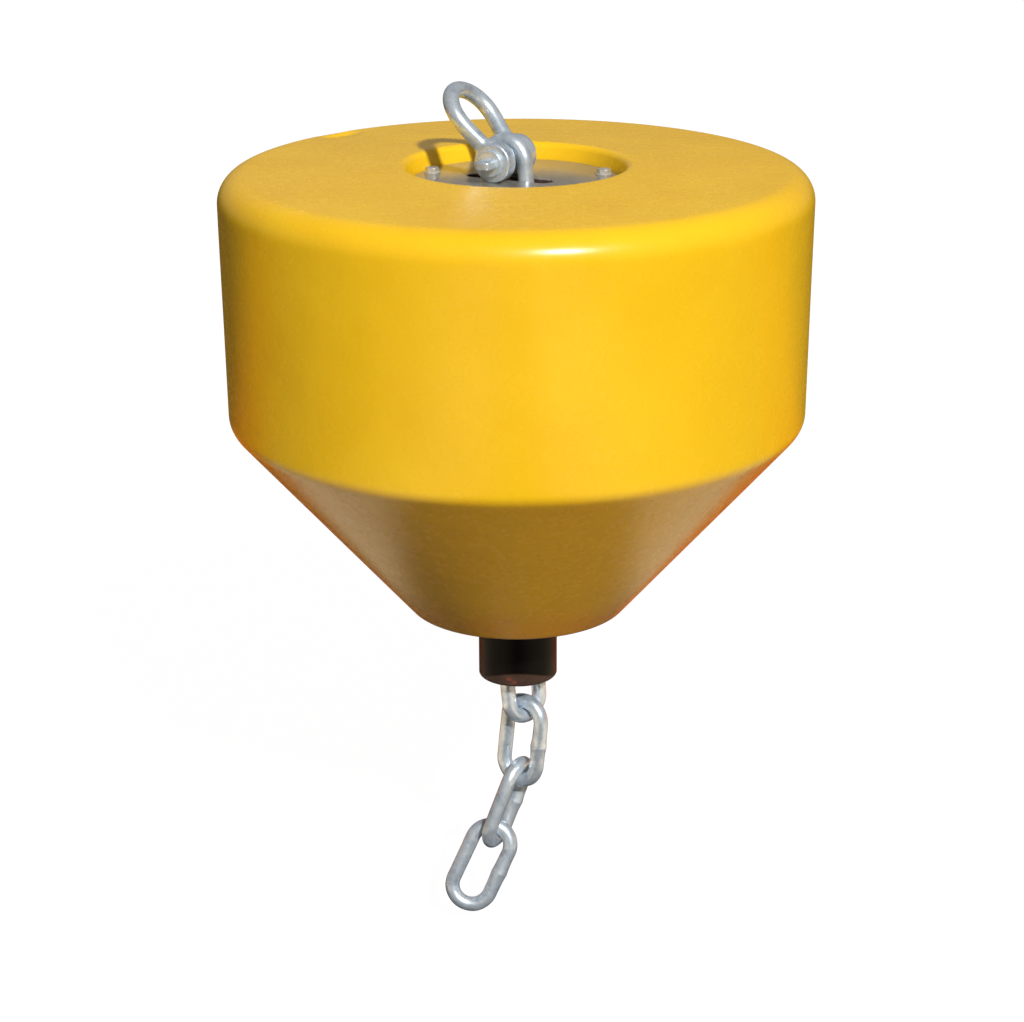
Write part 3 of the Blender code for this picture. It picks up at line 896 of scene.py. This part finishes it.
@dataclass
class ThroughChain:
    """Eleven welded links. Each is laid on the CAD link that it stands for.

    The wire is a little thinner than its nominal size, because the dents add to it.
    """

    wire: float = 0.0236
    nominal_wire: float = 0.024
    length: float = 0.1625
    width: float = 0.088
    weld_length: float = 0.010
    weld_swell: float = 0.10
    ridge_length_share: float = 0.22
    ridge_swell_share: float = 0.35
    dent: float = 0.00022
    dent_size: float = 0.030
    first_seed: int = 40
    path_steps: int = 176
    segments: int = 36
    links: int = 11
    fixed_links: int = 8

    def centreline(self) -> tuple[Array, Array]:
        """Stadium path and its outward normals, in the link's own across and along plane.

        The path runs up one straight leg, over a half circle, down the other leg and back under
        a half circle, at even steps of length. It starts in the middle of the welded leg.
        """
        bend = (self.width - self.nominal_wire) / 2.0
        leg = self.length - self.width
        arc = math.pi * bend
        total = 2.0 * leg + math.tau * bend
        run = (np.arange(self.path_steps) / self.path_steps * total + leg / 2.0) % total
        top = run >= leg
        down = run >= leg + arc
        bottom = run >= 2.0 * leg + arc
        sweep = np.where(bottom, (run - 2.0 * leg - arc) / bend + math.pi,
                         np.where(down, math.pi, np.where(top, (run - leg) / bend, 0.0)))
        normals = np.stack((np.cos(sweep), np.sin(sweep)), -1)
        shift = np.where(bottom, -leg / 2.0,
                         np.where(down, leg / 2.0 - (run - leg - arc),
                                  np.where(top, leg / 2.0, run - leg / 2.0)))
        path = normals * bend
        path[:, 1] += shift
        return path, normals

    def link_grid(self, seed: int) -> Array:
        """One link about its centre, as (across, normal, along) points.

        The wire's radius swells by a bell curve at the weld, with a thin ridge in its middle,
        and has small dents everywhere.
        """
        path, normals = self.centreline()
        centres = upright(path)
        aside = np.broadcast_to((0.0, 1.0, 0.0), centres.shape)
        from_weld = np.where(path[:, 0] > 0.0, np.abs(path[:, 1]), np.inf)
        ridge_length = self.ridge_length_share * self.weld_length
        swell = self.weld_swell * np.exp(-(from_weld / self.weld_length) ** 2)
        swell += self.ridge_swell_share * self.weld_swell * np.exp(-(from_weld / ridge_length) ** 2)
        radius = self.wire / 2.0 * (1.0 + swell)
        grid = swept(centres, upright(normals), aside, radius, radius, np.full_like(radius, ROUND),
                     self.segments)
        arms = grid - centres[:, None]
        dents = self.dent * ripple(grid, self.dent_size, seed) / (self.wire / 2.0)
        return centres[:, None] + arms * (1.0 + dents[..., None])

    @staticmethod
    def own_frame(node: Piece) -> Matrix:
        """Where a CAD link lies: its middle and its across, normal and along directions.

        The directions are the main axes of its corner points: they spread most along the link
        and least through it. The welded leg has more points, so their mean lies to its side.
        Points are rounded to a hundredth of a millimetre, so that double ones count once.

        Args:
            node: the CAD link.

        Returns:
            The placing matrix of a link about its own centre.
        """
        corners = np.empty(len(node.data.vertices) * 3, np.float32)
        node.data.vertices.foreach_get("co", corners)
        corners = np.unique(np.round(corners.reshape(-1, 3).astype(float), 5), axis=0)
        mean = corners.mean(0)
        _, axes = np.linalg.eigh(np.cov((corners - mean).T))
        normal, across, along = axes.T
        along = along * np.sign(along[2])
        reach = (corners - mean) @ np.stack((across, normal, along)).T
        middle = (reach.max(0) + reach.min(0)) / 2.0
        across = across * np.sign(-middle[0])
        centre = mean + np.stack((axes[:, 1], axes[:, 0], along)).T @ middle
        normal = np.cross(along, across)
        place = np.eye(4)
        place[:3, :3] = np.stack((across, normal, along), -1)
        place[:3, 3] = centre
        return Matrix(place.tolist())

    def part_of(self, number: int) -> Part:
        """Body that carries a link, counted from the top."""
        tail = (Part.TAIL_1, Part.TAIL_2, Part.TAIL_3)
        return Part.BUOY if number < self.fixed_links else tail[number - self.fixed_links]

    def build(self) -> None:
        """Build every link and dress it."""
        finish = HotDipZinc("hot_dip_zinc_chain").surface()
        for number in range(self.links):
            node_name = f"chain_link_{number:02d}"
            place = self.own_frame(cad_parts[node_name])
            grid = placed(self.link_grid(self.first_seed + number), place)
            piece = grid_piece(f"link_{number:02d}", grid, ring=True)
            install(piece, finish, self.part_of(number), "galvanised_chain", node_name)


@dataclass
class BowShackle:
    """A forged bow shackle with a screw pin, stood on the plate by its two eyes.

    The eye's arc ends at an angle above its middle. The lengths of the neck and of the change to
    a square section are given in radii of the eye. Points are counted along each stretch.
    """

    pin_centre: Triple = (-0.0155, 0.014, 0.3153)
    pin_yaw: float = 28.0
    bow_lean: float = 41.0
    bar: float = 0.025
    pin: float = 0.028
    jaw: float = 0.043
    inside_width: float = 0.068
    inside_length: float = 0.101
    eye: float = 0.060
    eye_arc_end: float = 0.9
    eye_play: float = 0.0007
    eye_squareness: float = 5.0
    square_until: float = 0.5
    square_fade: float = 0.7
    neck_start: float = 0.018
    neck_blend: float = 0.006
    neck_end: float = 1.8
    neck_settle: float = 0.8
    eye_points: int = 40
    leg_points: int = 34
    crown_points: int = 73
    bow_segments: int = 48
    rod_segments: int = 72
    shank_ends: Pair = (0.0005, 0.002)
    shank_edge: float = 0.0012
    collar: float = 0.040
    collar_thickness: float = 0.006
    collar_edge: float = 0.0016
    tab_length: float = 0.026
    tab_height: float = 0.026
    tab_thickness: float = 0.0135
    tab_corner: float = 0.008
    tab_thinning: float = 0.0025
    tab_squareness: float = 5.0
    tab_points: tuple[int, int] = (12, 16)
    tab_segments: int = 64
    tab_roll: float = 5.0
    hole: float = 0.008
    hole_shift: float = 0.003
    hole_reach: float = 0.02
    hole_segments: int = 48
    bore_play: float = 0.0003

    @property
    def eye_offset(self) -> float:
        """Distance of each eye's middle from the shackle's middle, along the pin."""
        return (self.jaw + self.bar) / 2.0

    @property
    def place(self) -> Matrix:
        """Pin along local X, head first, and bow along local Z."""
        yaw, lean = math.radians(self.pin_yaw), math.radians(self.bow_lean)
        head = Vector((-math.sin(yaw), -math.cos(yaw), 0.0))
        aside = Vector((-math.cos(yaw), math.sin(yaw), 0.0))
        bow = Vector((0.0, 0.0, 1.0)) * math.cos(lean) + aside * math.sin(lean)
        turn = Matrix((head, bow.cross(head), bow)).transposed().to_4x4()
        return Matrix.Translation(self.pin_centre) @ turn

    def bow_grid(self) -> Array:
        """The bar bent to a bow, and forged out to a round flat eye at each end.

        One side runs from under the eye straight up, leans out by a smooth step to the bow's
        radius and ends on top of a half circle; the other side is its mirror. The half width
        across the bow's plane is the larger of the bar's radius and the eye's half chord at that
        height, blended as half of their sum and of the root of their squared difference plus the
        blend squared. The section turns from round to square edged in the eye.
        """
        radius = (self.inside_width + self.bar) / 2.0
        crown = self.pin / 2.0 + self.inside_length + self.bar / 2.0 - radius
        eye = self.eye / 2.0
        eye_angles = np.linspace(-math.pi / 2.0, self.eye_arc_end, self.eye_points)
        eye_heights = eye * np.sin(eye_angles)
        leg = np.concatenate((eye_heights, np.linspace(eye_heights[-1], crown, self.leg_points)[1:]))
        lean = eased((leg - self.neck_start) / (crown - self.neck_start))
        side = np.stack((self.eye_offset + (radius - self.eye_offset) * lean, leg), -1)
        bend = np.linspace(0.0, math.pi, self.crown_points)[1:-1]
        top = np.stack((radius * np.cos(bend), crown + radius * np.sin(bend)), -1)
        path = np.concatenate((side, top, (side * (-1.0, 1.0))[::-1]))
        step = np.gradient(path, axis=0)
        step /= np.linalg.norm(step, axis=1, keepdims=True)
        outward = upright(np.stack((step[:, 1], -step[:, 0]), -1))
        aside = np.broadcast_to((0.0, 1.0, 0.0), outward.shape)
        height = path[:, 1]
        chord = np.sqrt(np.maximum(eye ** 2 - height ** 2, 0.0))
        bar = self.bar / 2.0
        blended = (chord + bar + np.sqrt((chord - bar) ** 2 + self.neck_blend ** 2)) / 2.0
        half_aside = np.where(height > 0.0, blended, chord + self.eye_play)
        half_aside = np.where(height > eye * self.neck_end, bar, half_aside)
        settle = eased((height - eye) / (self.neck_settle * eye))
        half_aside = half_aside + (bar - half_aside) * settle
        rounding = eased((height - self.square_until * eye) / (self.square_fade * eye))
        squareness = ROUND + self.eye_squareness * (1.0 - rounding)
        grid = swept(upright(path), outward, aside, np.full_like(height, bar), half_aside, squareness,
                     self.bow_segments)
        grid[0] = grid[0].mean(0)
        grid[-1] = grid[-1].mean(0)
        return grid

    def rod(self, name: str, radius: float, low: float, high: float, edge: float) -> Piece:
        """Round bar along local X between two ends, with rounded edges, in its place."""
        grid = rod_grid(radius, low, high, edge, self.rod_segments)[..., [2, 0, 1]]
        return grid_piece(name, placed(grid, self.place), ring=False, sharp_angle=40.0)

    def build_bow(self, finish: Surface) -> None:
        """Build the bow and bore it for the pin."""
        piece = grid_piece("bow", placed(self.bow_grid(), self.place), ring=False)
        reach = self.eye_offset + self.bar
        bore(piece, self.rod("pin_bore", self.pin / 2.0 + self.bore_play, -reach, reach, 0.0))
        install(piece, finish, Part.SHACKLE, "galvanised_shackle", "shackle_bow")

    def tab_grid(self, foot: float, tip: float, roll: float) -> Array:
        """Flat tab of the pin: its half height narrows by a quarter circle at the tip's corners."""
        corner = self.tab_corner
        flat, bent = self.tab_points
        rounded = tip - corner + corner * np.sin(np.linspace(0.0, math.pi / 2.0, bent))
        reach = np.concatenate((np.linspace(foot, tip - corner, flat), rounded[1:]))
        fall = np.clip((reach - (tip - corner)) / corner, 0.0, 1.0)
        half_height = self.tab_height / 2.0 - corner * (1.0 - np.sqrt(1.0 - fall ** 2))
        half_thickness = self.tab_thickness / 2.0 - self.tab_thinning * (1.0 - np.sqrt(1.0 - fall ** 2))
        centres = np.stack((reach, np.zeros_like(reach), np.zeros_like(reach)), -1)
        high = np.broadcast_to((0.0, math.cos(roll), math.sin(roll)), centres.shape)
        thick = np.broadcast_to((0.0, -math.sin(roll), math.cos(roll)), centres.shape)
        grid = swept(centres, high, thick, half_height, half_thickness,
                     np.full_like(reach, self.tab_squareness), self.tab_segments)
        ends = np.stack((grid[0].mean(0), grid[-1].mean(0)))
        caps = np.broadcast_to(ends[:, None], (2, self.tab_segments, 3))
        return np.concatenate((caps[:1], grid, caps[1:]))

    def build_pin(self, finish: Surface) -> None:
        """Build the shank, the collar against the front eye, and the bored tab."""
        face = self.eye_offset + self.bar / 2.0
        hidden, shown = self.shank_ends
        shank = self.rod("pin_shank", self.pin / 2.0, -face - hidden, face + shown, self.shank_edge)
        install(shank, finish, Part.SHACKLE, "galvanised_shackle", "shackle_pin")
        collar = self.rod("pin_collar", self.collar / 2.0, face + self.bore_play,
                          face + self.bore_play + self.collar_thickness, self.collar_edge)
        install(collar, finish, Part.SHACKLE, "galvanised_shackle")
        foot = face + self.collar_thickness / 2.0
        tip = face + self.collar_thickness + self.tab_length
        roll = math.radians(self.tab_roll - self.bow_lean)
        grid = placed(self.tab_grid(foot, tip, roll), self.place)
        tab = grid_piece("pin_tab", grid, ring=False, sharp_angle=50.0)
        hole = rod_grid(self.hole / 2.0, -self.hole_reach, self.hole_reach, 0.0, self.hole_segments)
        middle = Matrix.Translation(((foot + tip) / 2.0 + self.hole_shift, 0.0, 0.0))
        through = self.place @ middle @ Matrix.Rotation(roll, 4, "X")
        bore(tab, grid_piece("tab_hole", placed(hole, through), ring=False))
        install(tab, finish, Part.SHACKLE, "galvanised_shackle")

    def build(self) -> None:
        """Build the bow and the pin."""
        finish = HotDipZinc("hot_dip_zinc_shackle", spangle_size=9.0 * MM, lump_height=0.3 * MM,
                            roughness=(0.39, 0.21)).surface()
        self.build_bow(finish)
        self.build_pin(finish)


# Studio

@dataclass
class Studio:
    """Camera, two lamps, plain surroundings and a pale floor under the chain."""

    aim: Triple = (-0.0084, 0.0, -0.2443)
    distance: float = 4.1
    elevation: float = 19.01
    roll: float = -0.283
    scale: float = 634.65
    key_from: Triple = (0.27, -0.745, 0.61)
    key_strength: float = 3.65
    key_spread: float = 3.5
    back_from: Triple = (-0.2, 0.93, 0.30)
    back_strength: float = 0.9
    back_spread: float = 40.0
    fill: float = 0.25
    mirrored: float = 0.18
    floor_height: float = -0.957
    floor_middle: float = 2.0
    floor_radius: float = 60.0
    floor_thickness: float = 0.01
    floor_segments: int = 96

    def set_camera(self) -> None:
        """Put the camera on a slanting line to its aim, rolled about that line.

        The scale is in pixels for each metre at the aim, so the focal length in pixels is the
        scale times the distance.
        """
        elevation, roll = math.radians(self.elevation), math.radians(self.roll)
        forward = Vector((0.0, math.cos(elevation), -math.sin(elevation)))
        level = Vector((1.0, 0.0, 0.0))
        upward = level.cross(forward)
        right = level * math.cos(roll) + upward * math.sin(roll)
        above = upward * math.cos(roll) - level * math.sin(roll)
        data = bpy.data.cameras.new("camera")
        data.sensor_width = 36.0
        data.lens = self.scale * self.distance * data.sensor_width / IMAGE_WIDTH
        camera = bpy.data.objects.new("camera", data)
        bpy.context.scene.collection.objects.link(camera)
        turn = Matrix((right, above, -forward)).transposed().to_4x4()
        camera.matrix_world = Matrix.Translation(Vector(self.aim) - forward * self.distance) @ turn
        bpy.context.scene.camera = camera

    def set_lamps(self) -> None:
        """A key light from above the front right, and a weak one from behind that shows no glare."""
        lamps = (("key", self.key_from, self.key_strength, self.key_spread, True),
                 ("back", self.back_from, self.back_strength, self.back_spread, False))
        for name, source, strength, spread, mirrored in lamps:
            data = bpy.data.lights.new(name, "SUN")
            data.energy = strength
            data.angle = math.radians(spread)
            lamp = bpy.data.objects.new(name, data)
            lamp.visible_glossy = mirrored
            bpy.context.scene.collection.objects.link(lamp)
            lamp.matrix_world = Vector(source).to_track_quat("Z", "Y").to_matrix().to_4x4()

    def set_surroundings(self) -> None:
        """White for the camera, a dim room in reflections and a low even fill for the rest."""
        world = bpy.data.worlds.new("surroundings")
        made = Graph(world)
        room = made.run(made.ray("Glossy"), 0.0, 1.0, self.fill, self.mirrored)
        strength = made.mix(made.seen(), room, 1.0, data_type="FLOAT")
        light = made.node("Background", {"Color": "#FFFFFF", "Strength": strength})
        made.node("OutputWorld", {"Surface": light.outputs[0]})
        bpy.context.scene.world = world

    def set_floor(self) -> None:
        """A wide round floor, closed underneath."""
        top = self.floor_height
        outline = np.array(((0.0, top), (self.floor_middle, top), (self.floor_radius, top),
                            (0.0, top - self.floor_thickness)))
        floor = grid_piece("floor", turned(outline, self.floor_segments), ring=False, sharp_angle=30.0)
        PaleFloor().dress(floor)

    def build(self) -> None:
        """Set the camera, the light, the surroundings and the floor."""
        self.set_camera()
        self.set_lamps()
        self.set_surroundings()
        self.set_floor()
        bpy.context.scene.view_settings.view_transform = "Standard"


def main() -> None:
    """Build every sub-assembly in order."""
    logging.basicConfig(level=logging.INFO, format="%(name)s %(message)s")
    for assembly in (Studio(), FloatShell(), HawsePipe(), ChainPlate(), ThroughChain(), BowShackle()):
        assembly.build()
        LOG.info("%s built", type(assembly).__name__)


if __name__ == "__main__":
    main()
